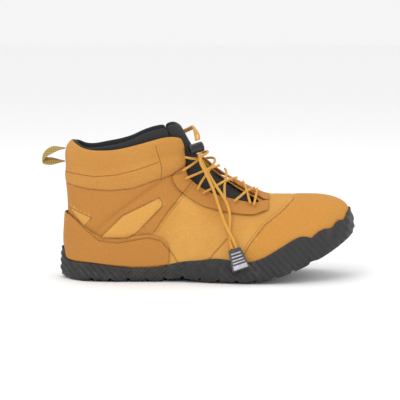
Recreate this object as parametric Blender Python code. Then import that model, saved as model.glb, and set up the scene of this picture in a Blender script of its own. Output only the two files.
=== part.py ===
"""Hiking boot, right shoe, standing unbent on its sole.

Metres, +Z up, toe towards +X, the outer side of the foot towards -Y. The origin lies on the
floor under the middle of the heel's flat lug.
"""

import functools
import math

import bmesh
import bpy
import numpy as np
from mathutils import Matrix, Quaternion, Vector
from mathutils.bvhtree import BVHTree

for old in list(bpy.data.objects):
    bpy.data.objects.remove(old, do_unlink=True)

# Driving sizes of the last and the sole
LENGTH = 0.288
BALL_WIDTH = 0.105
HEEL_WIDTH = 0.074
SHAFT_WIDTH = 0.078
VAMP_HEIGHT = 0.080
INSTEP_HEIGHT = 0.105
SHAFT_HEIGHT = 0.156
HEEL_HEIGHT = 0.136
TOE_SPRING = 0.046
ARCH_LIFT = 0.0028
HEEL_BEVEL = 0.004
HEEL_SETBACK = 0.045

# Walls, clearances and thicknesses
UPPER_WALL = 0.0022
GAP = 0.0003
FACET_ROOM = 0.0005
HEEL_ROOM = 0.0006
FEATHER_LIFT = GAP + 0.0009
OUTSOLE_THICKNESS = 0.0062
INSOLE_THICKNESS = 0.0035
RUBBER_SIDE = 0.0034
RIM_THICKNESS = 0.0013
SIDE_HEIGHT = 0.024
LUG_DEPTH = 0.0028
LUG_PITCH = 0.0175
RIB_RELIEF = 0.0009
SCALLOP_DEPTH = 0.0042
HEEL_TAB_HEIGHT = 0.011
PAD_RELIEF = 0.0026
TONGUE_THICKNESS = 0.0045
CUFF_THICKNESS = 0.0035
OVERLAY_THICKNESS = 0.0013

# One row for each section of the last, from the toe tip to the top of the shaft. Runs are shares
# of LENGTH measured from the heel, sides are shares of the local width, levels count 0 floor,
# 1 vamp, 2 instep, 3 shaft top. crown and flare are the handles at the crest and the foot, as
# shares of the girth, and rise is the foot handle's share of the section's height.
LAST = [
    # top_run, top_side, top_level, crown_outer, crown_inner, flare, rise
    (0.988, 0.095, 0.710, 0.000, 0.000, 0.000, 0.00),
    (0.981, 0.095, 0.840, 0.080, 0.080, 0.010, 0.50),
    (0.962, 0.100, 0.925, 0.190, 0.165, 0.012, 0.58),
    (0.910, 0.110, 1.000, 0.300, 0.200, 0.018, 0.62),
    (0.833, 0.133, 1.040, 0.350, 0.215, 0.022, 0.62),
    (0.743, 0.152, 1.000, 0.370, 0.215, 0.024, 0.62),
    (0.667, 0.152, 1.120, 0.370, 0.215, 0.022, 0.62),
    (0.601, 0.133, 1.440, 0.350, 0.220, 0.018, 0.62),
    (0.556, 0.105, 1.720, 0.450, 0.320, 0.020, 0.60),
    (0.524, 0.076, 1.980, 0.470, 0.370, 0.020, 0.56),
    (0.503, 0.057, 2.110, 0.490, 0.430, 0.030, 0.50),
    (0.490, 0.038, 2.216, 0.520, 0.480, 0.110, 0.42),
    (0.479, 0.029, 2.304, 0.520, 0.500, 0.340, 0.36),
    (0.472, 0.019, 2.373, 0.520, 0.510, 0.640, 0.30),
    (0.464, 0.014, 2.451, 0.530, 0.520, 0.680, 0.14),
    (0.455, 0.010, 2.539, 0.560, 0.560, 0.650, 0.04),
    (0.444, 0.005, 2.637, 0.600, 0.600, 0.590, 0.00),
    (0.436, 0.000, 2.725, 0.610, 0.610, 0.620, 0.00),
    (0.427, 0.000, 2.814, 0.620, 0.620, 0.650, 0.00),
    (0.417, 0.000, 2.912, 0.620, 0.620, 0.650, 0.00),
    (0.410, 0.000, 3.000, 0.620, 0.620, 0.650, 0.00),
]
# The feather line, where upper and sole meet, for the rows from the toe tip to the heel's back.
FEATHER = [
    # run, outer side, inner side
    (0.986, 0.095, 0.095),
    (0.977, -0.038, 0.229),
    (0.951, -0.181, 0.333),
    (0.896, -0.324, 0.405),
    (0.819, -0.414, 0.443),
    (0.729, -0.462, 0.467),
    (0.632, -0.452, 0.443),
    (0.521, -0.421, 0.386),
    (0.399, -0.427, 0.403),
    (0.278, -0.453, 0.439),
    (0.167, -0.453, 0.446),
    (0.083, -0.378, 0.378),
    (0.031, -0.182, 0.182),
    (0.017, 0.000, 0.000),
]
# The heel's back line above the feather, for the rows that are left.
HEEL_BACK = [
    # run, share of HEEL_HEIGHT
    (0.017, 0.048),
    (0.012, 0.235),
    (0.019, 0.456),
    (0.013, 0.662),
    (0.019, 0.794),
    (0.019, 0.897),
    (0.038, 1.000),
    (0.042, 1.037),
]
HEEL_ROW = len(FEATHER) - 1
LAST_ROW = len(LAST) - 1
THROAT_ROW = 5.65
THROAT_FRONT = -0.285
SHAFT_ROW = 16.0

# The throat's two edges, measured over the skin from the crest, as shares of BALL_WIDTH.
THROAT = [
    # row, outer edge, inner edge
    (THROAT_ROW, THROAT_FRONT, THROAT_FRONT),
    (6.0, -0.345, -0.225),
    (7.0, -0.362, -0.148),
    (8.0, -0.362, -0.067),
    (9.0, -0.345, 0.010),
    (10.0, -0.343, 0.067),
    (12.0, -0.295, 0.148),
    (14.0, -0.250, 0.190),
    (16.0, -0.215, 0.219),
    (18.0, -0.205, 0.229),
    (20.0, -0.205, 0.229),
]
# The leather's top edge round the collar: run, share of HEEL_HEIGHT.
COLLAR = [
    (0.000, 1.010),
    (0.038, 1.000),
    (0.070, 0.956),
    (0.104, 0.939),
    (0.167, 0.941),
    (0.226, 0.963),
    (0.285, 0.995),
    (0.344, 1.028),
    (0.389, 1.039),
    (0.402, 1.026),
    (0.450, 0.980),
]
# How far the black cuff stands above the leather: run, share of HEEL_HEIGHT.
CUFF_RISE = [
    (0.00, 0.006),
    (0.10, 0.010),
    (0.16, 0.028),
    (0.23, 0.036),
    (0.29, 0.060),
    (0.45, 0.066),
]
# The lines between the two padded rolls and under them: run, share of HEEL_HEIGHT.
ROLL_GROOVE = [(0.00, 0.775), (0.12, 0.787), (0.23, 0.816), (0.33, 0.875), (0.45, 0.930)]
ROLL_SEAM = [(0.00, 0.682), (0.14, 0.675), (0.22, 0.690), (0.32, 0.740), (0.42, 0.794)]
# The sole's side, rubber edge above the tread: run, share of SIDE_HEIGHT.
SOLE_RIM = [
    (0.00, 0.75),
    (0.09, 0.75),
    (0.17, 0.65),
    (0.25, 0.57),
    (0.35, 0.62),
    (0.45, 0.81),
    (0.52, 1.00),
    (0.63, 0.89),
    (0.68, 0.98),
    (0.74, 1.21),
    (0.80, 1.34),
    (0.83, 1.24),
    (0.89, 1.12),
    (0.94, 1.06),
    (1.00, 1.02),
]
SCALLOP_RUNS = (0.845, 0.913, 0.958)
SCALLOP_HALF_WIDTH = 0.0035

# The tread's outline from the side
SPRING_START = 0.625
SPRING_POWER = 1.7
ARCH_RUNS = (0.31, 0.51)
BEVEL_RUN = 0.06


def steady(xs, ys):
    """A smooth curve through the points that never swings past them, as a function."""
    xs = np.asarray(xs, float)
    ys = np.asarray(ys, float)
    steps = np.diff(xs)
    slopes = np.diff(ys) / steps
    tangents = np.zeros(len(xs))
    for i in range(1, len(xs) - 1):
        before = slopes[i - 1]
        after = slopes[i]
        if before * after > 0:
            near = 2 * steps[i] + steps[i - 1]
            far = steps[i] + 2 * steps[i - 1]
            tangents[i] = (near + far) / (near / before + far / after)
    for end, one, two in ((0, 0, 1), (-1, -1, -2)):
        first = slopes[one]
        second = slopes[two] if len(slopes) > 1 else first
        guess = (3 * first - second) / 2
        tangents[end] = guess if guess * first > 0 else 0.0

    def curve(x):
        i = int(np.clip(np.searchsorted(xs, x) - 1, 0, len(steps) - 1))
        t = (min(max(x, xs[0]), xs[-1]) - xs[i]) / steps[i]
        start = (1 + 2 * t) * (1 - t) ** 2 * ys[i] + t * (1 - t) ** 2 * steps[i] * tangents[i]
        end = t * t * (3 - 2 * t) * ys[i + 1] + t * t * (t - 1) * steps[i] * tangents[i + 1]
        return float(start + end)

    return curve


def columns(table, first_row=None):
    """One smooth curve for each column. The row number leads where first_row is given."""
    rows = [(first_row + i, *row) for i, row in enumerate(table)] if first_row is not None else table
    lead = [row[0] for row in rows]
    return [steady(lead, [row[c] for row in rows]) for c in range(1, len(rows[0]))]


def ease(x, low, high):
    t = min(max((x - low) / (high - low), 0.0), 1.0)
    return t * t * (3 - 2 * t)


top_run, top_side, top_level, crown_outer, crown_inner, flare_share, rise_share = columns(LAST, 0)
feather_run, feather_outer, feather_inner = columns(FEATHER, 0)
back_run, back_level = columns(HEEL_BACK, HEEL_ROW)
throat_outer, throat_inner = columns(THROAT)
(collar_share,) = columns(COLLAR)
(cuff_share,) = columns(CUFF_RISE)
(groove_share,) = columns(ROLL_GROOVE)
(seam_share,) = columns(ROLL_SEAM)
(rim_share,) = columns(SOLE_RIM)


def x_at(run):
    return run * LENGTH - HEEL_SETBACK


def run_at(x):
    return (x + HEEL_SETBACK) / LENGTH


def width_at(run):
    return HEEL_WIDTH + (BALL_WIDTH - HEEL_WIDTH) * ease(run, 0.30, 0.60)


def tread_z(run):
    """The underside's height: flat at heel and ball, lifted at the arch, curled at the toe."""
    spring = max(run - SPRING_START, 0.0) / (1 - SPRING_START)
    arch = min(max((run - ARCH_RUNS[0]) / (ARCH_RUNS[1] - ARCH_RUNS[0]), 0.0), 1.0)
    bevel = max(BEVEL_RUN - run, 0.0) / BEVEL_RUN
    lift = TOE_SPRING * spring**SPRING_POWER + ARCH_LIFT * math.sin(math.pi * arch) ** 2
    return lift + HEEL_BEVEL * bevel**2


def floor_z(run):
    return tread_z(run) + OUTSOLE_THICKNESS


def foot_point(row, side):
    """The lower end of a section: on the feather line, or on the heel's back line above it."""
    if row >= HEEL_ROW:
        back = back_level(row) * HEEL_HEIGHT
        base = floor_z(back_run(HEEL_ROW)) + FEATHER_LIFT
        start = back_level(HEEL_ROW) * HEEL_HEIGHT
        return np.array([x_at(back_run(row)), 0.0, base + back - start])
    run = feather_run(row)
    share = feather_outer(row) if side < 0 else feather_inner(row)
    return np.array([x_at(run), share * width_at(run), floor_z(run) + FEATHER_LIFT])


def top_point(row):
    heights = (0.0, VAMP_HEIGHT, INSTEP_HEIGHT, SHAFT_HEIGHT)
    z = np.interp(top_level(row), (0, 1, 2, 3), heights)
    return np.array([x_at(top_run(row)), top_side(row) * BALL_WIDTH, float(z)])


def rib_point(row, side, t):
    """A point of the section's half, from the crest at t = 0 to the foot at t = 1."""
    row = min(max(row, 0.0), float(LAST_ROW))
    girth = BALL_WIDTH + (SHAFT_WIDTH - BALL_WIDTH) * ease(row, 7.0, 8.0)
    top = top_point(row)
    foot = foot_point(row, side)
    crown = (crown_outer(row) if side < 0 else crown_inner(row)) * girth
    flare = flare_share(row) * girth
    rise = rise_share(row) * (top[2] - foot[2])
    top_handle = top + np.array([0.0, side * crown, 0.0])
    foot_handle = foot + np.array([0.0, side * flare, rise])
    s = 1 - t
    return s**3 * top + 3 * s * s * t * top_handle + 3 * s * t * t * foot_handle + t**3 * foot


@functools.lru_cache(maxsize=None)
def rib_lengths(row, side):
    shares = np.linspace(0, 1, 49)
    points = np.array([rib_point(row, side, t) for t in shares])
    steps = np.linalg.norm(np.diff(points, axis=0), axis=1)
    return shares, np.concatenate([[0.0], np.cumsum(steps)])


def rib_end(row, side):
    return side * rib_lengths(round(row, 4), side)[1][-1]


def skin_frame(row, reach):
    """Point and outward normal of the boot's skin, reach metres over it from the crest."""
    side = -1 if reach < 0 else 1
    row = round(min(max(row, 0.0), float(LAST_ROW)), 4)
    shares, lengths = rib_lengths(row, side)
    t = float(np.interp(abs(reach), lengths, shares))
    point = rib_point(row, side, t)
    along = rib_point(row, side, min(t + 0.01, 1)) - rib_point(row, side, max(t - 0.01, 0))
    if t < 0.01:
        along = rib_point(row, side, 0.02) - rib_point(row, -side, 0.02)
    step = 0.02
    across = rib_point(row + step, side, t) - rib_point(max(row - step, 0.0), side, t)
    if row < step:
        across = rib_point(step, side, t) - rib_point(0.0, side, t)
    normal = np.cross(along, across) * side
    if row < step / 2 or (row >= HEEL_ROW and t > 0.99):
        normal[1] = 0.0
    return point, normal / max(np.linalg.norm(normal), 1e-12)


def roll_relief(point):
    """How far the two padded rolls round the ankle stand out from the skin."""
    run = run_at(point[0])
    lines = (seam_share(run), groove_share(run), collar_share(run))
    level = point[2] / HEEL_HEIGHT
    for low, high in zip(lines, lines[1:]):
        if low < level < high:
            share = (level - low) / (high - low)
            return PAD_RELIEF * math.sqrt(4 * share * (1 - share))
    return 0.0


def skin(row, reach, lift=0.0, padded=False):
    point, normal = skin_frame(row, reach)
    if padded:
        lift += roll_relief(point)
    return Vector(point + normal * lift)


def row_under(reach_at, height):
    """The row where the skin at reach_at(row) comes up to height(run)."""
    low = SHAFT_ROW - 3
    high = float(LAST_ROW)
    for _ in range(20):
        row = (low + high) / 2
        point, _ = skin_frame(row, reach_at(row))
        if point[2] < height(run_at(point[0])):
            low = row
        else:
            high = row
    return row


def throat_edge(row, side):
    """Reach of the throat's edge. In front of the throat the two edges are one line."""
    if row <= THROAT_ROW:
        return THROAT_FRONT * (row / THROAT_ROW) ** 1.3 * BALL_WIDTH
    return (throat_outer(row) if side < 0 else throat_inner(row)) * BALL_WIDTH


def half_reach(row, side, share):
    """Reach at a share of the way from the throat's edge to the foot, on one side."""
    edge = throat_edge(row, side)
    return edge + share * (rib_end(row, side) - edge)


def collar_height(run):
    return collar_share(run) * HEEL_HEIGHT


def cuff_height(run):
    return (collar_share(run) + cuff_share(run)) * HEEL_HEIGHT


def material(name, colour, roughness, metallic=0.0):
    made = bpy.data.materials.new(name)
    made.use_nodes = True
    shader = made.node_tree.nodes["Principled BSDF"]
    shader.inputs["Base Color"].default_value = (*colour, 1.0)
    shader.inputs["Roughness"].default_value = roughness
    shader.inputs["Metallic"].default_value = metallic
    return made


def lay_grid(bm, across, along, place):
    """Adds a grid whose vertices lie at place(a, b), a and b running from 0 to 1."""
    made = bmesh.ops.create_grid(bm, x_segments=across, y_segments=along, size=0.5)
    for vert in made["verts"]:
        vert.co = place(min(max(vert.co.x + 0.5, 0), 1), min(max(vert.co.y + 0.5, 0), 1))
    return made["verts"]


def finish(name, bm, look, wall=0.0, hollow_at=None):
    """Welds the mesh, turns it outwards and makes the object. wall gives a sheet its thickness."""
    bmesh.ops.remove_doubles(bm, verts=bm.verts[:], dist=1e-6)
    bmesh.ops.dissolve_degenerate(bm, edges=bm.edges[:], dist=1e-7)
    bmesh.ops.recalc_face_normals(bm, faces=bm.faces[:])
    if hollow_at is not None:
        inside = Vector(hollow_at)
        outward = sum((f.calc_center_median() - inside).dot(f.normal) * f.calc_area() for f in bm.faces)
        if outward < 0:
            bmesh.ops.reverse_faces(bm, faces=bm.faces[:])
    mesh = bpy.data.meshes.new(name)
    bm.to_mesh(mesh)
    bm.free()
    mesh.shade_smooth()
    obj = bpy.data.objects.new(name, mesh)
    bpy.context.scene.collection.objects.link(obj)
    obj.data.materials.append(look)
    if wall:
        solid = obj.modifiers.new("Wall", "SOLIDIFY")
        solid.thickness = wall
        solid.offset = -1.0
        solid.use_even_offset = True
    return obj


leather = material("tan_nubuck", (0.56, 0.31, 0.12), 0.75)
overlay_leather = material("dark_tan_nubuck", (0.48, 0.25, 0.09), 0.78)
rubber = material("black_rubber", (0.030, 0.028, 0.026), 0.70)
textile = material("black_textile", (0.020, 0.020, 0.021), 0.90)
webbing = material("olive_webbing", (0.44, 0.30, 0.09), 0.85)
insole_foam = material("insole_foam", (0.045, 0.045, 0.045), 0.90)

INSIDE = (x_at(0.33), 0.0, 0.55 * VAMP_HEIGHT)


# Upper: one hollow leather wall, open at the collar, down the throat and underneath
def upper_rows():
    """Rows of the mesh, with one of them on the throat's front end."""
    vamp = [THROAT_ROW * (i / 11) ** 1.35 for i in range(12)]
    quarter = [THROAT_ROW + (SHAFT_ROW - 1 - THROAT_ROW) * i / 12 for i in range(1, 13)]
    return vamp + quarter


UPPER_COLUMNS = 12
SHAFT_STEPS = 8


def upper_half(bm, side):
    rows = upper_rows()
    count = len(rows) - 1 + SHAFT_STEPS
    tops = {}

    def place(a, b):
        i = round(a * count)
        if i < len(rows):
            return skin(rows[i], half_reach(rows[i], side, b), padded=True)
        if b not in tops:
            tops[b] = row_under(lambda r: half_reach(r, side, b), collar_height)
        row = rows[-1] + (tops[b] - rows[-1]) * (i - len(rows) + 1) / SHAFT_STEPS
        return skin(row, half_reach(row, side, b), padded=True)

    lay_grid(bm, count, UPPER_COLUMNS, place)


upper_mesh = bmesh.new()
upper_half(upper_mesh, -1)
upper_half(upper_mesh, 1)
bmesh.ops.remove_doubles(upper_mesh, verts=upper_mesh.verts[:], dist=1e-6)
upper_tree = BVHTree.FromBMesh(upper_mesh)
upper = finish("upper", upper_mesh, leather, UPPER_WALL, INSIDE)


# Outsole: a rubber cup with a bumper at the toe, a tab at the heel and cross lugs underneath
def outward_at(row, side):
    """Plan direction out of the feather line, square to it."""
    if row < 0.02:
        return np.array([1.0, 0.0, 0.0])
    if row > HEEL_ROW - 0.02:
        return np.array([-1.0, 0.0, 0.0])
    step = foot_point(row + 0.01, side) - foot_point(row - 0.01, side)
    out = np.array([-step[1] * side, step[0] * side, 0.0]) * -1
    return out / np.linalg.norm(out)


OFF_SEAM = 0.00003


def cup_point(row, side, z, out):
    """A point at height z beside the upper, out metres clear of it."""
    foot = foot_point(row, side)
    direction = outward_at(row, side)
    if z <= foot[2] + 0.0005:
        place = foot + direction * out
        return Vector((place[0], place[1], z))
    start = foot - direction * 0.014
    hit = upper_tree.ray_cast(Vector((start[0], start[1] + OFF_SEAM, z)), Vector(direction))[0]
    if hit is None:
        hit = Vector((foot[0], foot[1], z))
    return Vector((hit[0] + direction[0] * out, hit[1] + direction[1] * out, z))


def rim_z(row, side):
    run = feather_run(row)
    height = SIDE_HEIGHT * rim_share(run)
    for notch in SCALLOP_RUNS:
        height -= SCALLOP_DEPTH * math.exp(-(((run - notch) * LENGTH / SCALLOP_HALF_WIDTH) ** 2))
    height += HEEL_TAB_HEIGHT * ease(row, 12.1, 12.7)
    return tread_z(run) + height


BOTTOM_COLUMNS = 5
FLOOR_COLUMNS = 3
CHEVRON = 0.006
CHEVRON_AT_MIDDLE = CHEVRON * (1 - 1 / BOTTOM_COLUMNS)


def lug_shares():
    """Station runs along one lug and the groove after it, as shares of the pitch."""
    return (0.0, 0.25, 0.50, 0.76, 0.80, 0.96)


def sole_stations():
    """(row, in a groove) from the heel's back to the toe tip."""
    dense = np.linspace(HEEL_ROW, 0.0, 600)
    runs = np.array([feather_run(r) for r in dense])
    pitch = LUG_PITCH / LENGTH
    stations = [(float(HEEL_ROW), False)]
    for step in (12.75, 12.5, 12.25, 12.0, 11.8):
        stations.append((step, False))
    middle = (lug_shares()[0] + lug_shares()[3]) / 2
    start = run_at(0.0) - CHEVRON_AT_MIDDLE / LENGTH - (1 + middle) * pitch
    count = int((0.90 - start) / pitch)
    for i in range(count):
        for share in lug_shares():
            run = start + (i + share) * pitch
            stations.append((float(np.interp(run, runs, dense)), share >= 0.8))
    last = stations[-1][0]
    for i in range(1, 19):
        stations.append((last * (1 - i / 18), False))
    return stations


def side_profile(row, side, groove):
    """Points from the cup's floor, up its inner wall, over the rim and down to the tread."""
    run = feather_run(row)
    tread = tread_z(run)
    rim = rim_z(row, side)
    clear = GAP + FACET_ROOM + HEEL_ROOM * ease(row, 10.2, 12.0)
    tab = 0.0016 * ease(row, 12.1, 12.7)
    edge = tread + (LUG_DEPTH if groove else 0.0)
    low = tread + 0.0042
    lean = run * LENGTH / 0.0085
    points = [cup_point(row, side, floor_z(run), clear)]
    for share in (0.22, 0.5, 1.0):
        points.append(cup_point(row, side, floor_z(run) + (rim - floor_z(run)) * share, clear))
    points.append(cup_point(row, side, rim, clear + RIM_THICKNESS * 0.6 + tab))
    for share in (0.94, 0.66, 0.36):
        z = low + (rim - low) * share
        full = RIM_THICKNESS + (RUBBER_SIDE - RIM_THICKNESS) * (1 - share) + tab
        full += RIB_RELIEF * math.sin(2 * math.pi * (lean + 2.2 * share)) * (share < 0.9)
        points.append(cup_point(row, side, z, clear + full))
    points.append(cup_point(row, side, low, clear + RUBBER_SIDE + tab))
    points.append(cup_point(row, side, edge, clear + RUBBER_SIDE - 0.0012 + tab))
    return points


def sole_section(row, groove):
    """The closed loop of points of the sole's cross-section at a station."""
    outer = side_profile(row, -1, groove)
    inner = side_profile(row, 1, groove)
    open_share = min(1.0, (inner[-1] - outer[-1]).length / HEEL_WIDTH)
    loop = list(outer)
    for i in range(1, BOTTOM_COLUMNS):
        t = i / BOTTOM_COLUMNS
        point = outer[-1].lerp(inner[-1], t)
        point.x += CHEVRON * (1 - abs(2 * t - 1)) * open_share * (1 if row > 3 else 0)
        point.z = tread_z(run_at(point.x)) + (LUG_DEPTH if groove else 0.0)
        loop.append(point)
    loop.extend(reversed(inner))
    for i in range(1, FLOOR_COLUMNS):
        loop.append(inner[0].lerp(outer[0], i / FLOOR_COLUMNS))
    return loop


sole_loops = [sole_section(row, groove) for row, groove in sole_stations()]
around = len(sole_loops[0])


def sole_place(a, b):
    loop = sole_loops[round(a * (len(sole_loops) - 1))]
    return loop[round(b * around) % around]


sole_mesh = bmesh.new()
lay_grid(sole_mesh, len(sole_loops) - 1, around, sole_place)
outsole = finish("outsole", sole_mesh, rubber)


# Insole: a foam sheet on the cup's floor, inside the upper's wall
INSOLE_INSET = UPPER_WALL + 0.0022
INSOLE_ROWS = 30


def insole_place(a, b):
    row = 0.55 + (HEEL_ROW - 0.35 - 0.55) * a
    outer = foot_point(row, -1) - outward_at(row, -1) * INSOLE_INSET
    inner = foot_point(row, 1) - outward_at(row, 1) * INSOLE_INSET
    point = outer + (inner - outer) * b
    lift = GAP + FACET_ROOM + INSOLE_THICKNESS
    return Vector((point[0], point[1], floor_z(run_at(point[0])) + lift))


insole_mesh = bmesh.new()
lay_grid(insole_mesh, INSOLE_ROWS, 6, insole_place)
insole = finish("insole", insole_mesh, insole_foam, INSOLE_THICKNESS, (x_at(0.4), 0, -1))


# Tongue: a padded textile sheet under the throat's edges, rising past the collar
TONGUE_LAP = 0.009
TONGUE_RISE = 0.006
TONGUE_ROOM = 0.0007
TONGUE_ROWS = (6.1, 6.5, 7.0, 7.6, 8.3, 9.0, 10.0, 11.0, 12.0, 13.2, 14.4)
TONGUE_TOP_STEPS = 5
INNER_LIFT = -(UPPER_WALL + GAP + FACET_ROOM)


def tongue_reach(row, b):
    left = throat_edge(row, -1) - TONGUE_LAP * ease(row, 5.0, 9.0)
    right = throat_edge(row, 1) + TONGUE_LAP * ease(row, 5.0, 9.0)
    return left + (right - left) * b


def tongue_place(a, b):
    last = len(TONGUE_ROWS) - 1
    i = round(a * (last + TONGUE_TOP_STEPS))
    row = TONGUE_ROWS[min(i, last)]
    if i > last:
        crown = TONGUE_RISE * (1 - (2 * b - 1) ** 2)
        top = row_under(lambda r: tongue_reach(r, b), lambda run: cuff_height(run) + crown)
        row += (top - row) * (i - last) / TONGUE_TOP_STEPS
    return skin(row, tongue_reach(row, b), INNER_LIFT - TONGUE_ROOM)


tongue_mesh = bmesh.new()
lay_grid(tongue_mesh, len(TONGUE_ROWS) - 1 + TONGUE_TOP_STEPS, 8, tongue_place)
tongue = finish("tongue", tongue_mesh, textile, TONGUE_THICKNESS, INSIDE)


# Collar cuff: the black padded lining round the ankle, seen above the leather
CUFF_DEPTH = 0.16
CUFF_COLUMNS = 16
CUFF_STEPS = 4


def cuff_half(bm, side):
    tops = {}

    def cuff_share_at(row, b):
        start = abs(tongue_reach(row, 0.0 if side < 0 else 1.0)) + 0.0012
        full = abs(rib_end(row, side))
        return side * (start + (full - start) * b)

    def place(a, b):
        if b not in tops:
            top = row_under(lambda r: cuff_share_at(r, b), cuff_height)
            bottom = row_under(
                lambda r: cuff_share_at(r, b), lambda run: cuff_height(run) - CUFF_DEPTH * HEEL_HEIGHT
            )
            tops[b] = (bottom, top)
        bottom, top = tops[b]
        row = bottom + (top - bottom) * a
        return skin(row, cuff_share_at(row, b), INNER_LIFT)

    lay_grid(bm, CUFF_STEPS, CUFF_COLUMNS, place)


cuff_mesh = bmesh.new()
cuff_half(cuff_mesh, -1)
cuff_half(cuff_mesh, 1)
cuff = finish("collar_cuff", cuff_mesh, textile, CUFF_THICKNESS, (x_at(0.2), 0, HEEL_HEIGHT * 0.9))


# Eyestays: doubled leather along both edges of the throat, with no lace holes cut in it
EYESTAY_WIDTH = 0.0155
EYESTAY_ROWS = (5.45, 5.65, 5.9, 6.2, 6.6, 7.0, 7.5, 8.0, 8.6, 9.2, 10.0, 10.8, 11.6, 12.4)
OVERLAY_ROOM = 0.0009
OVERLAY_LIFT = GAP + FACET_ROOM + OVERLAY_ROOM + OVERLAY_THICKNESS
EYESTAY_SETBACK = 0.0006


def eyestay(name, side):
    def place(a, b):
        row = EYESTAY_ROWS[round(a * (len(EYESTAY_ROWS) - 1))]
        reach = throat_edge(row, side) + side * (EYESTAY_SETBACK + EYESTAY_WIDTH * b)
        return skin(row, reach, OVERLAY_LIFT, padded=True)

    bm = bmesh.new()
    lay_grid(bm, len(EYESTAY_ROWS) - 1, 5, place)
    return finish(name, bm, overlay_leather, OVERLAY_THICKNESS, INSIDE)


eyestay_outer = eyestay("eyestay_outer", -1)
eyestay_inner = eyestay("eyestay_inner", 1)


# Heel counter: leather overlay round the heel, from the sole's rim to a curved top line
COUNTER_TOP = [
    # run, share of HEEL_HEIGHT
    (0.000, 0.485),
    (0.020, 0.480),
    (0.080, 0.400),
    (0.130, 0.325),
    (0.195, 0.307),
    (0.290, 0.346),
    (0.340, 0.323),
    (0.380, 0.225),
]
(counter_share,) = columns(COUNTER_TOP)
COUNTER_ROWS = (8.25, 8.4, 8.6, 8.9, 9.3, 9.7, 10.1, 10.5, 10.9, 11.4, 11.8, 12.0, 12.25, 12.5, 12.75)


def counter_place(a, b):
    rows = COUNTER_ROWS + (float(HEEL_ROW),) + COUNTER_ROWS[::-1]
    i = round(a * (len(rows) - 1))
    side = -1 if i < len(rows) // 2 else 1
    low = rim_z(rows[i], side) + 3 * GAP
    high = counter_share(feather_run(rows[i])) * HEEL_HEIGHT
    return cup_point(rows[i], side, low + (high - low) * b, OVERLAY_LIFT)


counter_mesh = bmesh.new()
lay_grid(counter_mesh, 2 * len(COUNTER_ROWS), 5, counter_place)
heel_counter = finish(
    "heel_counter", counter_mesh, overlay_leather, OVERLAY_THICKNESS, (x_at(0.2), 0, HEEL_HEIGHT * 0.25)
)


# Pull loop: webbing bent into a loop behind the heel and sewn into it at both ends
LOOP_REACH = 0.0215
LOOP_WIDTH = 0.011
LOOP_WALL = 0.0020
LOOP_TOP = 0.940
LOOP_BOTTOM = 0.830
LOOP_DROOP = 0.004
LOOP_STEPS = 14


def heel_back_x(z):
    """Where the heel's back lies at height z."""
    hit = upper_tree.ray_cast(Vector((x_at(0.15), 0.0, z)), Vector((-1.0, 0.0, 0.0)))[0]
    return hit[0]


def loop_place(a, b):
    angle = math.pi * a
    top = LOOP_TOP * HEEL_HEIGHT
    bottom = LOOP_BOTTOM * HEEL_HEIGHT
    z = (top + bottom) / 2 + (top - bottom) / 2 * math.cos(angle)
    reach = LOOP_REACH * math.sin(angle) ** 0.8
    start = heel_back_x(top) * (1 - a) + heel_back_x(bottom) * a - GAP - 0.0009
    return Vector((start - reach, (b - 0.5) * LOOP_WIDTH, z - LOOP_DROOP * math.sin(angle) ** 2))


loop_mesh = bmesh.new()
lay_grid(loop_mesh, LOOP_STEPS, 2, loop_place)
pull_loop = finish(
    "pull_loop", loop_mesh, webbing, LOOP_WALL, (x_at(0), 0, (LOOP_TOP + LOOP_BOTTOM) / 2 * HEEL_HEIGHT)
)


# Laces: round cord across the throat between five places a side, where the real lace goes through
# the leather. No holes are cut, and the strands end over it. Each crossing is two strands that touch
LACE_DIAMETER = 0.0029
LACE_CLEAR = 0.0017
HOLE_SETBACK = 0.008
HOLE_ROWS = (6.05, 7.0, 8.5, 11.3, 15.8)
LOW_RISES = (0.15, 0.20, 0.25, 0.30)
HIGH_DROPS = (0.15, 0.15, 0.80, 1.30)
HOLE_EASE = -0.00175
CROSSING_RAISE = 0.0018
CROSSING_SAGS = (0.0, 0.0, 0.0, 0.0055)
ROW_BENDS = (1.0, 1.0, 1.0, 4.0)
STRAND_STEPS = 8


def round_cord(name, points, diameter, look):
    """A round cord along the points, as a curve with closed ends."""
    curve = bpy.data.curves.new(name, "CURVE")
    curve.dimensions = "3D"
    curve.bevel_depth = diameter / 2
    curve.bevel_resolution = 1
    curve.use_fill_caps = True
    spline = curve.splines.new("POLY")
    spline.points.add(len(points) - 1)
    for spot, point in zip(spline.points, points):
        spot.co = (*point, 1.0)
    cord = bpy.data.objects.new(name, curve)
    cord.data.materials.append(look)
    bpy.context.scene.collection.objects.link(cord)
    return cord


def joined_cords(name, first, second, diameter, look):
    """One solid from two cords that run into each other."""
    body = round_cord(name, first, diameter, look)
    other = round_cord(name + "_other", second, diameter, look)
    for cord in (body, other):
        bpy.ops.object.select_all(action="DESELECT")
        cord.select_set(True)
        bpy.context.view_layer.objects.active = cord
        bpy.ops.object.convert(target="MESH")
    other.hide_render = True
    other.display_type = "WIRE"
    union = body.modifiers.new("Join", "BOOLEAN")
    union.operation = "UNION"
    union.solver = "EXACT"
    union.object = other
    return body


def strand(start, end, raised=0.0, extra=0.0, bend=1.0):
    """Points over the throat from one lace place to another. start and end are (row, side)."""
    first = throat_edge(start[0], start[1]) + start[1] * (HOLE_SETBACK + extra)
    last = throat_edge(end[0], end[1]) + end[1] * (HOLE_SETBACK + extra)
    points = []
    for i in range(STRAND_STEPS + 1):
        t = i / STRAND_STEPS
        row = start[0] + (end[0] - start[0]) * (1 - (1 - t) ** bend)
        lift = OVERLAY_LIFT + LACE_CLEAR + LACE_DIAMETER / 2 + raised * math.sin(math.pi * t) ** 5
        points.append(skin(row, first + (last - first) * t, lift, padded=True))
    return points


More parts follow.
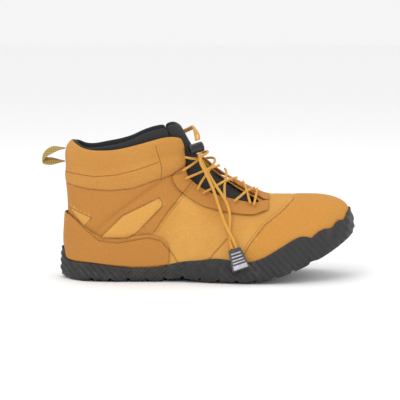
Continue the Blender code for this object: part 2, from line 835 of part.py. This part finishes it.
lace_look = material("yellow_lace", (0.72, 0.40, 0.11), 0.80)
lace_bar = round_cord("lace_bar", strand((HOLE_ROWS[0], -1), (HOLE_ROWS[0], 1)), LACE_DIAMETER, lace_look)
for number in range(1, len(HOLE_ROWS)):
    low_row = HOLE_ROWS[number - 1] + LOW_RISES[number - 1]
    high_row = HOLE_ROWS[number] - HIGH_DROPS[number - 1]
    sag = CROSSING_SAGS[number - 1]
    over = strand((high_row, -1), (low_row, 1), CROSSING_RAISE - sag, HOLE_EASE, ROW_BENDS[number - 1])
    under = strand((low_row, -1), (high_row, 1), -sag, HOLE_EASE)
    joined_cords(f"lace_crossing_{number}", over, under, LACE_DIAMETER, lace_look)


# Cord lock: a turned barrel over the throat. Its bores aren't cut, and the laces stop beside it
LOCK_MIDDLE = Vector((0.0872, -0.0225, 0.1288))
LOCK_AXIS = Vector((0.92, 0.25, 0.27)).normalized()
LOCK_LENGTH = 0.0140
LOCK_RADIUS = 0.0050
LOCK_BEVEL = 0.0011

LOCK_ROOM = 0.0015

lock_look = material("black_gloss_plastic", (0.012, 0.012, 0.013), 0.18)
lock_mesh = bmesh.new()
bmesh.ops.create_cone(
    lock_mesh,
    cap_ends=True,
    segments=20,
    radius1=LOCK_RADIUS,
    radius2=LOCK_RADIUS,
    depth=LOCK_LENGTH,
)
lock_rims = [edge for edge in lock_mesh.edges if edge.verts[0].co.z * edge.verts[1].co.z > 0]
bmesh.ops.bevel(
    lock_mesh, geom=lock_rims, offset=LOCK_BEVEL, segments=2, profile=0.5, affect="EDGES", material=-1
)
bmesh.ops.transform(
    lock_mesh,
    matrix=Matrix.Translation(LOCK_MIDDLE) @ LOCK_AXIS.to_track_quat("Z", "Y").to_matrix().to_4x4(),
    verts=lock_mesh.verts[:],
)
cord_lock = finish("cord_lock", lock_mesh, lock_look)


def lock_mouth(turn, shift):
    """Where a lace leaves the barrel: turned about its axis from straight down, shift along it."""
    down = Vector((0.0, 0.0, -1.0))
    down = (down - LOCK_AXIS * down.dot(LOCK_AXIS)).normalized()
    down.rotate(Quaternion(LOCK_AXIS, turn))
    return LOCK_MIDDLE + down * (LOCK_RADIUS + LOCK_ROOM) + LOCK_AXIS * shift


# Laces from the collar's inner edge over the tongue to the lock's upper side, by a guessed route
LOCK_ENTRY_SHIFT = 0.0045
ENTRY_SPACING = 0.0026
ENTRY_RISE = 0.005


def top_strand(beside):
    """From the inner edge of the collar over the tongue's crest to the lock."""
    entry = lock_mouth(math.radians(166), LOCK_ENTRY_SHIFT) + LOCK_AXIS * beside
    start_row = HOLE_ROWS[-1] + 1.2 + beside / 0.0085
    start_reach = throat_edge(start_row, 1) + HOLE_SETBACK
    points = []
    for i in range(STRAND_STEPS):
        t = i / STRAND_STEPS
        row = start_row + 0.75 * t
        reach = start_reach * (1 - t) + 0.001 * t
        points.append(skin(row, reach, OVERLAY_LIFT + LACE_CLEAR + LACE_DIAMETER / 2, padded=True))
    points.append(entry + (entry - LOCK_MIDDLE).normalized() * ENTRY_RISE)
    points.append(entry)
    return points


lace_top = joined_cords("lace_top", top_strand(0.0), top_strand(-ENTRY_SPACING), LACE_DIAMETER, lace_look)


# Cord clip: a flat tapered clip on the two free ends, beside the sole
CLIP_TOP = Vector((0.1237, -0.0493, 0.0336))
CLIP_FOOT = Vector((0.1300, -0.0542, 0.0155))
CLIP_TOP_WIDTH = 0.0108
CLIP_FOOT_WIDTH = 0.0160
CLIP_THICKNESS = 0.0044
CLIP_BEVEL = 0.0008
CLIP_ROOM = 0.0010
END_SPACING = 0.0046

clip_down = (CLIP_FOOT - CLIP_TOP).normalized()
clip_across = Vector((0.95, 0.08, 0.31))
clip_across = (clip_across - clip_down * clip_across.dot(clip_down)).normalized()
clip_out = clip_down.cross(clip_across)

clip_look = material("dark_ribbed_plastic", (0.10, 0.10, 0.11), 0.45)
clip_mesh = bmesh.new()
bmesh.ops.create_cube(clip_mesh, size=1.0)
for vert in clip_mesh.verts:
    share = vert.co.z + 0.5
    width = CLIP_TOP_WIDTH + (CLIP_FOOT_WIDTH - CLIP_TOP_WIDTH) * share
    along = CLIP_TOP.lerp(CLIP_FOOT, share)
    vert.co = along + clip_across * (vert.co.x * width) + clip_out * (vert.co.y * CLIP_THICKNESS)
bmesh.ops.bevel(
    clip_mesh,
    geom=clip_mesh.edges[:],
    offset=CLIP_BEVEL,
    segments=1,
    profile=0.5,
    affect="EDGES",
    material=-1,
)
cord_clip = finish("cord_clip", clip_mesh, clip_look, 0.0, CLIP_TOP.lerp(CLIP_FOOT, 0.5))


# The two free ends of the lace, from the lock down the outer side to the clip
END_STEPS = 3
LACE_END_1 = [
    # x, y, z
    (0.0915, -0.0310, 0.1150),
    (0.0955, -0.0332, 0.1072),
    (0.1034, -0.0325, 0.0898),
    (0.1089, -0.0348, 0.0733),
    (0.1136, -0.0398, 0.0606),
    (0.1180, -0.0449, 0.0512),
    (0.1224, -0.0477, 0.0430),
]
LACE_END_2 = [
    # x, y, z
    (0.0935, -0.0265, 0.1140),
    (0.0978, -0.0290, 0.1065),
    (0.1024, -0.0295, 0.0985),
    (0.1090, -0.0318, 0.0888),
    (0.1136, -0.0324, 0.0818),
    (0.1169, -0.0336, 0.0752),
    (0.1190, -0.0360, 0.0680),
    (0.1195, -0.0380, 0.0615),
    (0.1190, -0.0402, 0.0525),
    (0.1196, -0.0434, 0.0430),
]


def free_end(name, start, table, across):
    """A lace end through the table's points, from the lock to its place on the clip."""
    finish_at = CLIP_TOP - clip_down * CLIP_ROOM + clip_across * across
    stops = [start] + [Vector(spot) for spot in table] + [finish_at]
    lead = list(range(len(stops)))
    curves = [steady(lead, [stop[axis] for stop in stops]) for axis in range(3)]
    count = (len(stops) - 1) * END_STEPS
    points = [Vector([curve(i / END_STEPS) for curve in curves]) for i in range(count + 1)]
    return round_cord(name, points, LACE_DIAMETER, lace_look)


lace_end_1 = free_end("lace_end_1", lock_mouth(math.radians(-28), 0.0005), LACE_END_1, END_SPACING / 2)
lace_end_2 = free_end("lace_end_2", lock_mouth(math.radians(12), 0.0005), LACE_END_2, -END_SPACING / 2)
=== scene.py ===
"""The looks of the hiking boot, a right shoe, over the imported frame.

Metres, +Z up, toe towards +X, the outer side of the foot towards -Y.
"""

import math

import bmesh
import bpy
from mathutils import Matrix, Vector
from mathutils.bvhtree import BVHTree


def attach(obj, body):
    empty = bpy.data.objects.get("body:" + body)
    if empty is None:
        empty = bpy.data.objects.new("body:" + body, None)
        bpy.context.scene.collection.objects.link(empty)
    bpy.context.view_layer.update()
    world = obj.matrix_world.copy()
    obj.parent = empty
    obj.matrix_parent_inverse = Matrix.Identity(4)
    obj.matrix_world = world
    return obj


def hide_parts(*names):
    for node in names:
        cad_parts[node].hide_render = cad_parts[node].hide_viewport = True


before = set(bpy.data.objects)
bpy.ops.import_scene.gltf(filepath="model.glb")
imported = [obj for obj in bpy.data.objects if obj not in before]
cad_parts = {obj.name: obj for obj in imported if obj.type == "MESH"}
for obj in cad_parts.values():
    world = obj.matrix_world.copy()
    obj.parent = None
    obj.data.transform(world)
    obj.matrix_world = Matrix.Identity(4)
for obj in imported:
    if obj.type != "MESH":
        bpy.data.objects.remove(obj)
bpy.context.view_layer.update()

# Camera, floor and light, as a studio photograph of the outer side
camera = bpy.data.objects.new("Camera", bpy.data.cameras.new("Camera"))
bpy.context.scene.collection.objects.link(camera)
bpy.context.scene.camera = camera
camera.data.lens = 165
camera.data.sensor_width = 36
camera_target = Vector((0.0907, 0.0, 0.0755))
camera_height = math.radians(7)
camera_back = Vector((0.0, -math.cos(camera_height), math.sin(camera_height)))
camera.location = camera_target + camera_back * 1.8
camera.rotation_euler = (-camera_back).to_track_quat("-Z", "Y").to_euler()

floor_mesh = bmesh.new()
bmesh.ops.create_grid(floor_mesh, x_segments=1, y_segments=1, size=6.0)
floor_data = bpy.data.meshes.new("Floor")
floor_mesh.to_mesh(floor_data)
floor_mesh.free()
floor = bpy.data.objects.new("Floor", floor_data)
floor.location.z = -0.0002
bpy.context.scene.collection.objects.link(floor)
floor_look = bpy.data.materials.new("Floor")
floor_look.use_nodes = True
floor_look.node_tree.nodes["Principled BSDF"].inputs["Base Color"].default_value = (0.97, 0.97, 0.97, 1)
floor_look.node_tree.nodes["Principled BSDF"].inputs["Roughness"].default_value = 0.9
floor_data.materials.append(floor_look)

world = bpy.data.worlds.new("World")
bpy.context.scene.world = world
bpy.context.scene.view_settings.view_transform = "Standard"
world.use_nodes = True
world.node_tree.nodes["Background"].inputs["Color"].default_value = (1.0, 1.0, 1.0, 1.0)
world.node_tree.nodes["Background"].inputs["Strength"].default_value = 0.92


def softbox(name, place, size, power):
    lamp = bpy.data.lights.new(name, "AREA")
    lamp.size = size
    lamp.energy = power
    box = bpy.data.objects.new(name, lamp)
    box.location = place
    box.rotation_euler = (camera_target - Vector(place)).to_track_quat("-Z", "Y").to_euler()
    bpy.context.scene.collection.objects.link(box)


softbox("Key light", (-0.5, -1.1, 1.2), 0.9, 8)
softbox("Fill light", (1.2, -0.8, 0.7), 1.0, 3)
softbox("Top light", (0.1, 0.5, 1.5), 1.2, 3)


# Materials
def new_look(name, colour, roughness):
    look = bpy.data.materials.new(name)
    look.use_nodes = True
    shader = look.node_tree.nodes["Principled BSDF"]
    shader.inputs["Base Color"].default_value = (*colour, 1.0)
    shader.inputs["Roughness"].default_value = roughness
    return look, look.node_tree, shader


def add_node(tree, kind, **values):
    node = tree.nodes.new(kind)
    for name, value in values.items():
        node.inputs[name].default_value = value
    return node


def object_noise(tree, scale, detail=3.0):
    place = tree.nodes.new("ShaderNodeTexCoord")
    noise = add_node(tree, "ShaderNodeTexNoise", Scale=scale, Detail=detail)
    tree.links.new(place.outputs["Object"], noise.inputs["Vector"])
    return noise.outputs["Fac"]


def mix_colours(tree, factor, low, high):
    mix = tree.nodes.new("ShaderNodeMix")
    mix.data_type = "RGBA"
    for socket, value in ((6, low), (7, high)):
        if isinstance(value, tuple):
            mix.inputs[socket].default_value = (*value, 1.0)
        else:
            tree.links.new(value, mix.inputs[socket])
    tree.links.new(factor, mix.inputs[0])
    return mix.outputs[2]


def ramp(tree, value, low, high):
    curve = add_node(tree, "ShaderNodeMapRange")
    curve.interpolation_type = "SMOOTHSTEP"
    curve.inputs["From Min"].default_value = low
    curve.inputs["From Max"].default_value = high
    tree.links.new(value, curve.inputs["Value"])
    return curve.outputs["Result"]


def add_bump(tree, shader, height, strength, distance, under=None):
    bump = add_node(tree, "ShaderNodeBump", Strength=strength, Distance=distance)
    tree.links.new(height, bump.inputs["Height"])
    if under is not None:
        tree.links.new(under, bump.inputs["Normal"])
    tree.links.new(bump.outputs["Normal"], shader.inputs["Normal"])
    return bump.outputs["Normal"]


def read_mask(tree, name):
    mask = tree.nodes.new("ShaderNodeAttribute")
    mask.attribute_name = name
    return mask.outputs["Fac"]


MAIN_TAN = (0.60, 0.290, 0.062)
OVERLAY_TAN = (0.50, 0.215, 0.046)
WINDOW_TAN = (0.66, 0.335, 0.078)
TOE_TAN = (0.58, 0.255, 0.046)
SEAM_BROWN = (0.22, 0.090, 0.020)


def nubuck(name):
    """Fine matte nubuck: panel colours from the masks, clouded by wear, with a short nap."""
    look, tree, shader = new_look(name, MAIN_TAN, 0.86)
    colour = mix_colours(tree, ramp(tree, object_noise(tree, 22.0), 0.35, 0.68), MAIN_TAN, WINDOW_TAN)
    colour = mix_colours(tree, read_mask(tree, "overlay"), colour, OVERLAY_TAN)
    colour = mix_colours(tree, read_mask(tree, "window"), colour, WINDOW_TAN)
    colour = mix_colours(tree, read_mask(tree, "toe"), colour, TOE_TAN)
    speck = ramp(tree, object_noise(tree, 900.0, 2.0), 0.30, 0.75)
    darker = tree.nodes.new("ShaderNodeMix")
    darker.data_type = "RGBA"
    darker.blend_type = "MULTIPLY"
    darker.inputs[0].default_value = 0.35
    tree.links.new(colour, darker.inputs[6])
    tree.links.new(mix_colours(tree, speck, (0.62, 0.60, 0.58), (1.0, 1.0, 1.0)), darker.inputs[7])
    tree.links.new(darker.outputs[2], shader.inputs["Base Color"])
    nap = add_bump(tree, shader, object_noise(tree, 1600.0, 2.0), 0.35, 0.0002)
    add_bump(tree, shader, object_noise(tree, 140.0), 0.25, 0.0006, nap)
    shader.inputs["Sheen Weight"].default_value = 0.06
    shader.inputs["Sheen Roughness"].default_value = 0.5
    shader.inputs["Sheen Tint"].default_value = (1.0, 0.75, 0.45, 1.0)
    shader.inputs["Specular IOR Level"].default_value = 0.25
    return look


def black_rubber():
    """Moulded rubber with dust in random patches."""
    look, tree, shader = new_look("black_rubber", (0.018, 0.017, 0.017), 0.52)
    dust = ramp(tree, object_noise(tree, 46.0, 6.0), 0.50, 0.78)
    colour = mix_colours(tree, dust, (0.014, 0.013, 0.013), (0.040, 0.037, 0.034))
    tree.links.new(colour, shader.inputs["Base Color"])
    add_bump(tree, shader, object_noise(tree, 1100.0, 2.0), 0.25, 0.0003)
    return look


def woven(name, colour, light, scale, roughness=0.9):
    """Cloth with a fine plain weave of two crossed waves."""
    look, tree, shader = new_look(name, colour, roughness)
    place = tree.nodes.new("ShaderNodeTexCoord")
    waves = []
    for direction in ("X", "Z"):
        wave = add_node(tree, "ShaderNodeTexWave", Scale=scale, Distortion=1.2)
        wave.bands_direction = direction
        tree.links.new(place.outputs["Object"], wave.inputs["Vector"])
        waves.append(wave.outputs["Fac"])
    cross = tree.nodes.new("ShaderNodeMath")
    cross.operation = "MULTIPLY"
    tree.links.new(waves[0], cross.inputs[0])
    tree.links.new(waves[1], cross.inputs[1])
    tree.links.new(mix_colours(tree, cross.outputs[0], colour, light), shader.inputs["Base Color"])
    add_bump(tree, shader, cross.outputs[0], 0.5, 0.0004)
    shader.inputs["Sheen Weight"].default_value = 0.03
    return look


def plastic(name, colour, roughness):
    look, tree, shader = new_look(name, colour, roughness)
    marks = ramp(tree, object_noise(tree, 300.0, 4.0), 0.3, 0.8)
    tree.links.new(mix_colours(tree, marks, colour, tuple(c * 1.5 for c in colour)), shader.inputs["Base Color"])
    add_bump(tree, shader, object_noise(tree, 500.0), 0.08, 0.0002)
    return look


nubuck_look = nubuck("nubuck")
rubber_look = black_rubber()
textile_look = woven("black_textile", (0.012, 0.012, 0.013), (0.040, 0.040, 0.043), 260.0)
webbing_look = woven("olive_webbing", (0.30, 0.19, 0.045), (0.52, 0.36, 0.11), 150.0)
insole_look = woven("insole_textile", (0.030, 0.030, 0.032), (0.060, 0.060, 0.062), 200.0)
lace_look = woven("yellow_lace", (0.56, 0.26, 0.030), (0.88, 0.50, 0.090), 300.0, 0.75)
lock_look = plastic("gloss_black", (0.010, 0.010, 0.011), 0.16)
clip_look = plastic("clip_dark", (0.045, 0.045, 0.052), 0.42)
rib_look = plastic("clip_grey", (0.40, 0.40, 0.44), 0.50)


# Finished pieces
def show(name, mesh, look, *nodes):
    piece = bpy.data.objects.new(name, mesh)
    mesh.materials.clear()
    mesh.materials.append(look)
    bpy.context.scene.collection.objects.link(piece)
    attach(piece, "root")
    if nodes:
        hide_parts(*nodes)
    return piece


def smooth_copy(node, levels):
    """A welded, subdivided copy of a CAD node's own mesh."""
    bm = bmesh.new()
    bm.from_mesh(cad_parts[node].data)
    bmesh.ops.remove_doubles(bm, verts=bm.verts[:], dist=2e-6)
    bmesh.ops.join_triangles(
        bm,
        faces=bm.faces[:],
        angle_face_threshold=math.radians(50),
        angle_shape_threshold=math.radians(60),
    )
    bm.normal_update()
    mesh = bpy.data.meshes.new(node)
    bm.to_mesh(mesh)
    bm.free()
    holder = bpy.data.objects.new("holder", mesh)
    bpy.context.scene.collection.objects.link(holder)
    subdivide = holder.modifiers.new("Smooth", "SUBSURF")
    subdivide.levels = levels
    subdivide.render_levels = levels
    graph = bpy.context.evaluated_depsgraph_get()
    fine = bpy.data.meshes.new_from_object(holder.evaluated_get(graph))
    bpy.data.objects.remove(holder, do_unlink=True)
    fine.shade_smooth()
    return fine


# Lines of the panels on the side, in metres along the boot and up from the floor. Each is drawn
# through its points from the heel or the sole towards the toe or the throat.
ROLL_LINE = [(-0.040, 0.105), (-0.010, 0.102), (0.010, 0.104), (0.030, 0.109), (0.051, 0.116)]
CUFF_SEAM = [(-0.040, 0.0935), (-0.018, 0.0895), (0.005, 0.0885), (0.025, 0.0905), (0.046, 0.0975), (0.073, 0.105)]
FRONT_SEAM = [(0.048, 0.132), (0.052, 0.118), (0.054, 0.110), (0.053, 0.098)]
QUARTER_SEAM = [(0.085, 0.099), (0.075, 0.087), (0.060, 0.069), (0.045, 0.047)]
COUNTER_LINE = [(-0.039, 0.067), (-0.021, 0.051), (-0.007, 0.040), (0.011, 0.038), (0.040, 0.043),
                (0.053, 0.040), (0.064, 0.027), (0.070, 0.017)]
TOE_SEAM = [(0.132, 0.026), (0.139, 0.038), (0.154, 0.056), (0.171, 0.068), (0.184, 0.079), (0.180, 0.0825)]
VAMP_SEAM = [(0.096, 0.019), (0.118, 0.044)]
STAY_LINE = [(0.077, 0.083), (0.086, 0.073), (0.099, 0.070), (0.110, 0.061), (0.125, 0.0555), (0.138, 0.053), (0.154, 0.059)]
LEAF_WINDOW = [(-0.006, 0.0425), (0.016, 0.064), (0.051, 0.081), (0.0545, 0.077), (0.0535, 0.0725), (0.029, 0.0475), (0.020, 0.0425)]
HEEL_WINDOW = [(-0.038, 0.071), (-0.014, 0.062), (-0.022, 0.053)]


def to_segment(x, z, one, two):
    dx = two[0] - one[0]
    dz = two[1] - one[1]
    share = max(0.0, min(1.0, ((x - one[0]) * dx + (z - one[1]) * dz) / (dx * dx + dz * dz)))
    return math.hypot(x - one[0] - dx * share, z - one[1] - dz * share)


def to_line(x, z, line):
    return min(to_segment(x, z, one, two) for one, two in zip(line, line[1:]))


def inside(x, z, ring):
    crossings = 0
    for one, two in zip(ring, ring[1:] + ring[:1]):
        if (one[1] > z) != (two[1] > z):
            crossings += x < one[0] + (z - one[1]) / (two[1] - one[1]) * (two[0] - one[0])
    return crossings % 2 == 1


def height_on(line, x):
    """The line's height at x, for a line that runs forwards."""
    for one, two in zip(line, line[1:]):
        if one[0] <= x <= two[0]:
            return one[1] + (two[1] - one[1]) * (x - one[0]) / (two[0] - one[0])
    return line[0][1] if x < line[0][0] else line[-1][1]


SEAMS = (ROLL_LINE, CUFF_SEAM, FRONT_SEAM, QUARTER_SEAM, TOE_SEAM, VAMP_SEAM, LEAF_WINDOW + LEAF_WINDOW[:1],
         HEEL_WINDOW + HEEL_WINDOW[:1])
DOUBLE_SEAMS = (QUARTER_SEAM, TOE_SEAM)
STITCHED_SEAMS = (CUFF_SEAM, QUARTER_SEAM, TOE_SEAM, VAMP_SEAM, COUNTER_LINE, LEAF_WINDOW + LEAF_WINDOW[:1])
GROOVE_DEPTH = 0.0004
WINDOW_PUFF = 0.0006
CREASE_RUNS = (0.146, 0.154, 0.163)


def dress_leather(mesh, is_upper):
    """Masks for the panels, grooves along the seams and creases over the vamp."""
    masks = {"overlay": [], "window": [], "toe": []}
    normals = [vert.normal.copy() for vert in mesh.vertices]
    for vert, normal in zip(mesh.vertices, normals):
        x, y, z = vert.co
        overlay = 0.0 if is_upper else 1.0
        window = 0.0
        toe = 0.0
        if is_upper:
            near = min(to_line(x, z, line) for line in SEAMS)
            in_window = inside(x, z, LEAF_WINDOW) or inside(x, z, HEEL_WINDOW)
            window = 1.0 if in_window else 0.0
            if x < 0.085 and z < height_on(CUFF_SEAM, x) and not in_window:
                quarter_x = 0.045 + (z - 0.047) * 0.77
                overlay = 1.0 if x < quarter_x else 0.0
            if z > height_on(CUFF_SEAM, x) and x < 0.085:
                overlay = 0.55
            if x > 0.128:
                above = z < height_on(TOE_SEAM[:-1], x) or x > 0.184
                toe = 0.85 if above else 0.0
            depth = GROOVE_DEPTH * math.exp(-((near / 0.0009) ** 2))
            puff = WINDOW_PUFF * min(1.0, near / 0.003) if in_window else 0.0
            crease = sum(math.exp(-(((x - run - 0.25 * (z - 0.08)) / 0.0016) ** 2)) for run in CREASE_RUNS)
            crease *= 0.0007 * max(0.0, min(1.0, (z - 0.062) / 0.015)) * (1 if x < 0.19 else 0)
            vert.co += normal * (puff - depth - crease)
        for name, value in (("overlay", overlay), ("window", window), ("toe", toe)):
            masks[name].append(value)
    for name, values in masks.items():
        mesh.attributes.new(name, "FLOAT", "POINT")
        mesh.attributes[name].data.foreach_set("value", values)
    mesh.update()


# Upper: nubuck over the CAD wall, its panels, seams and creases laid into the surface
upper_mesh = smooth_copy("upper", 2)
dress_leather(upper_mesh, True)
upper = show("upper_leather", upper_mesh, nubuck_look, "upper")

# Overlays: the doubled leather of the eyestays and the heel counter
overlays = {}
for node in ("eyestay_outer", "eyestay_inner", "heel_counter"):
    overlay_mesh = smooth_copy(node, 2)
    dress_leather(overlay_mesh, False)
    overlays[node] = show(node + "_leather", overlay_mesh, nubuck_look, node)

# Outsole: the rubber cup, with ribs fanned over its side
sole_mesh = smooth_copy("outsole", 2)
RIB_DEPTH = 0.0011
sole_normals = [vert.normal.copy() for vert in sole_mesh.vertices]
for vert, normal in zip(sole_mesh.vertices, sole_normals):
    x, y, z = vert.co
    side_share = max(0.0, 1.0 - abs(normal.z) * 1.4)
    if side_share > 0:
        lean = 0.9 if x < 0.02 else (-1.2 if x < 0.11 else 0.9)
        pitch = 0.0065 if x < 0.02 else (0.0042 if x < 0.11 else 0.0075)
        wave = math.sin(2 * math.pi * (x + lean * z) / pitch)
        vert.co += normal * (RIB_DEPTH * side_share * max(-0.6, min(0.6, wave)))
sole_mesh.update()
outsole = show("outsole_rubber", sole_mesh, rubber_look, "outsole")

# Seams: a dark folded edge along each panel line, and rows of short brown stitches beside it
EDGE_RADIUS = 0.00032
STITCH_PITCH = 0.0023
STITCH_LENGTH = 0.0015
STITCH_RADIUS = 0.00026
SEAM_SIDE = 0.0011
DOUBLE_SIDE = 0.0030


def surface_tree(pieces):
    """One search tree over the leather's pieces."""
    leather = bmesh.new()
    for piece in pieces:
        leather.from_mesh(piece.data)
    tree = BVHTree.FromBMesh(leather)
    leather.free()
    return tree


leather_tree = surface_tree([upper] + list(overlays.values()))


def walk(line, step, offset=0.0):
    """Points at equal steps along a side-view line, moved offset to its left."""
    points = []
    left_over = 0.0
    for one, two in zip(line, line[1:]):
        start = Vector(one)
        way = Vector(two) - start
        length = way.length
        way.normalize()
        across = Vector((-way.y, way.x)) * offset
        at = left_over
        while at < length:
            points.append(start + way * at + across)
            at += step
        left_over = at - length
    return points


def on_leather(point, side):
    """Where a side-view point lies on the boot's outer (-1) or inner (1) side, with the normal."""
    start = Vector((point.x, side * 0.2, point.y))
    place, normal, _, _ = leather_tree.ray_cast(start, Vector((0.0, -side, 0.0)))
    if place is None or place.y * side < -0.004:
        return None
    if normal.y * side < 0:
        normal = -normal
    return (place, normal) if normal.y * side > 0.15 else None


def lay_edge(bm, line, side):
    """A thin half-sunk tube along a line, as a chain of short cylinders."""
    spots = [on_leather(point, side) for point in walk(line, 0.0012)]
    for one, two in zip(spots, spots[1:]):
        if one is None or two is None or (one[0] - two[0]).length > 0.004:
            continue
        way = two[0] - one[0]
        turn = way.to_track_quat("Z", "Y").to_matrix().to_4x4()
        bmesh.ops.create_cone(
            bm,
            cap_ends=False,
            segments=6,
            radius1=EDGE_RADIUS,
            radius2=EDGE_RADIUS,
            depth=way.length * 1.15,
            matrix=Matrix.Translation((one[0] + two[0]) / 2) @ turn,
        )


def lay_stitches(bm, line, side, offset):
    """Short round stitches along a line, half sunk into the leather."""
    spots = [on_leather(point, side) for point in walk(line, STITCH_PITCH, offset)]
    for one, two in zip(spots, spots[1:]):
        if one is None or two is None or (one[0] - two[0]).length > 0.005:
            continue
        turn = (two[0] - one[0]).to_track_quat("Z", "Y").to_matrix().to_4x4()
        shape = Matrix.Diagonal((1.0, 1.0, STITCH_LENGTH / (2 * STITCH_RADIUS), 1.0))
        place = Matrix.Translation(one[0] + one[1] * STITCH_RADIUS * 0.4)
        bmesh.ops.create_icosphere(bm, subdivisions=1, radius=STITCH_RADIUS, matrix=place @ turn @ shape)


edge_mesh = bmesh.new()
stitch_mesh = bmesh.new()
for side in (-1, 1):
    for line in SEAMS + (COUNTER_LINE,):
        lay_edge(edge_mesh, line, side)
    for line in STITCHED_SEAMS:
        lay_stitches(stitch_mesh, line, side, SEAM_SIDE)
    for line in DOUBLE_SEAMS:
        lay_stitches(stitch_mesh, line, side, DOUBLE_SIDE)
seam_edge_look = plastic("seam_edge", SEAM_BROWN, 0.9)
stitch_look = plastic("stitch_thread", (0.20, 0.085, 0.022), 0.8)
for name, bm, look in (("seam_edges", edge_mesh, seam_edge_look), ("stitches", stitch_mesh, stitch_look)):
    mesh = bpy.data.meshes.new(name)
    bm.to_mesh(mesh)
    bm.free()
    mesh.shade_smooth()
    show(name, mesh, look)

# Tongue, collar cuff and insole: padded black textile and a cloth-topped foam sheet
for node, look in (("tongue", textile_look), ("collar_cuff", textile_look), ("insole", insole_look)):
    show(node + "_cloth", smooth_copy(node, 2), look, node)

# Pull loop: woven webbing that twists towards its outer end
TWIST_START = -0.044
TWIST_RUN = 0.012
TWIST = math.radians(40)
LOOP_SEAT = 0.0020
loop_mesh = smooth_copy("pull_loop", 2)
for vert in loop_mesh.vertices:
    share = max(0.0, min(1.0, (TWIST_START - vert.co.x) / TWIST_RUN))
    angle = TWIST * share * share * (3 - 2 * share)
    across = vert.co.y
    vert.co.y = across * math.cos(angle)
    vert.co.z += across * math.sin(angle)
    vert.co.x += LOOP_SEAT * (1 - share)
loop_mesh.update()
pull_loop = show("pull_loop_webbing", loop_mesh, webbing_look, "pull_loop")


# Laces over the throat, rounded copies of the CAD strands
for node in ("lace_bar", "lace_crossing_1", "lace_crossing_2", "lace_crossing_3", "lace_crossing_4", "lace_top"):
    strand = smooth_copy(node, 1)
    show(node + "_braid", strand, lace_look, node)

# Cord lock: glossy turned barrel
lock = show("cord_lock_barrel", smooth_copy("cord_lock", 2), lock_look, "cord_lock")

# Cord clip: a dark tapered clip with light ribs across it and a light block at its foot
CLIP_TOP = Vector((0.1237, -0.0493, 0.0336))
CLIP_FOOT = Vector((0.1300, -0.0542, 0.0155))
clip_down = (CLIP_FOOT - CLIP_TOP).normalized()
clip_across = Vector((0.95, 0.08, 0.31))
clip_across = (clip_across - clip_down * clip_across.dot(clip_down)).normalized()
clip_out = clip_down.cross(clip_across)
if clip_out.y > 0:
    clip_out = -clip_out
clip = show("cord_clip_body", smooth_copy("cord_clip", 0), clip_look, "cord_clip")
clip_soften = clip.modifiers.new("Soften", "BEVEL")
clip_soften.width = 0.0003
clip_soften.segments = 2
clip_length = (CLIP_FOOT - CLIP_TOP).length
ribs = bmesh.new()
for share, height in ((0.20, 0.0011), (0.36, 0.0011), (0.52, 0.0011), (0.66, 0.0011), (0.88, 0.0038)):
    width = 0.0108 + (0.0160 - 0.0108) * share - 0.0022
    made = bmesh.ops.create_cube(ribs, size=1.0)
    for vert in made["verts"]:
        place = CLIP_TOP.lerp(CLIP_FOOT, share) + clip_out * (0.0022 + vert.co.y * 0.0009)
        vert.co = place + clip_across * (vert.co.x * width) + clip_down * (vert.co.z * height)
bmesh.ops.bevel(ribs, geom=ribs.edges[:], offset=0.00025, segments=2, profile=0.5, affect="EDGES", material=-1)
bmesh.ops.recalc_face_normals(ribs, faces=ribs.faces[:])
rib_mesh = bpy.data.meshes.new("clip_ribs")
ribs.to_mesh(rib_mesh)
ribs.free()
clip_ribs = show("clip_ribs", rib_mesh, rib_look)

# Free lace ends: two limp strands from the lock down the outer side into the clip
LACE_DIAMETER = 0.0029
LACE_END_1 = [
    (0.08997, -0.02491, 0.12341),
    (0.0915, -0.0310, 0.1150),
    (0.0955, -0.0332, 0.1072),
    (0.1034, -0.0325, 0.0898),
    (0.1089, -0.0348, 0.0733),
    (0.1136, -0.0398, 0.0606),
    (0.1180, -0.0449, 0.0512),
    (0.1224, -0.0477, 0.0430),
    (0.12556, -0.04887, 0.03522),
]
LACE_END_2 = [
    (0.08898, -0.02062, 0.12282),
    (0.0935, -0.0265, 0.1140),
    (0.0978, -0.0290, 0.1065),
    (0.1024, -0.0295, 0.0985),
    (0.1090, -0.0318, 0.0888),
    (0.1136, -0.0324, 0.0818),
    (0.1169, -0.0336, 0.0752),
    (0.1190, -0.0360, 0.0680),
    (0.1195, -0.0380, 0.0615),
    (0.1190, -0.0402, 0.0525),
    (0.1196, -0.0434, 0.0430),
    (0.1212, -0.04924, 0.03381),
]
ROUTE_STEPS = 6


def smooth_route(stops):
    """Points of a Catmull-Rom curve through the stops."""
    stops = [Vector(stop) for stop in stops]
    padded = [stops[0] * 2 - stops[1]] + stops + [stops[-1] * 2 - stops[-2]]
    route = []
    for before, start, end, after in zip(padded, padded[1:], padded[2:], padded[3:]):
        for i in range(ROUTE_STEPS):
            t = i / ROUTE_STEPS
            route.append(
                0.5
                * (
                    2 * start
                    + (end - before) * t
                    + (2 * before - 5 * start + 4 * end - after) * t * t
                    + (3 * start - before - 3 * end + after) * t**3
                )
            )
    return route + [stops[-1]]


def free_lace(name, stops, node):
    route = smooth_route(stops)
    curve = bpy.data.curves.new(name, "CURVE")
    curve.dimensions = "3D"
    curve.bevel_depth = LACE_DIAMETER / 2
    curve.bevel_resolution = 4
    curve.use_fill_caps = True
    spline = curve.splines.new("POLY")
    spline.points.add(len(route) - 1)
    for spot, point in zip(spline.points, route):
        spot.co = (*point, 1.0)
    curve.materials.append(lace_look)
    lace = bpy.data.objects.new(name, curve)
    bpy.context.scene.collection.objects.link(lace)
    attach(lace, "root")
    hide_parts(node)
    return lace


free_lace("lace_strand_1", LACE_END_1, "lace_end_1")
free_lace("lace_strand_2", LACE_END_2, "lace_end_2")
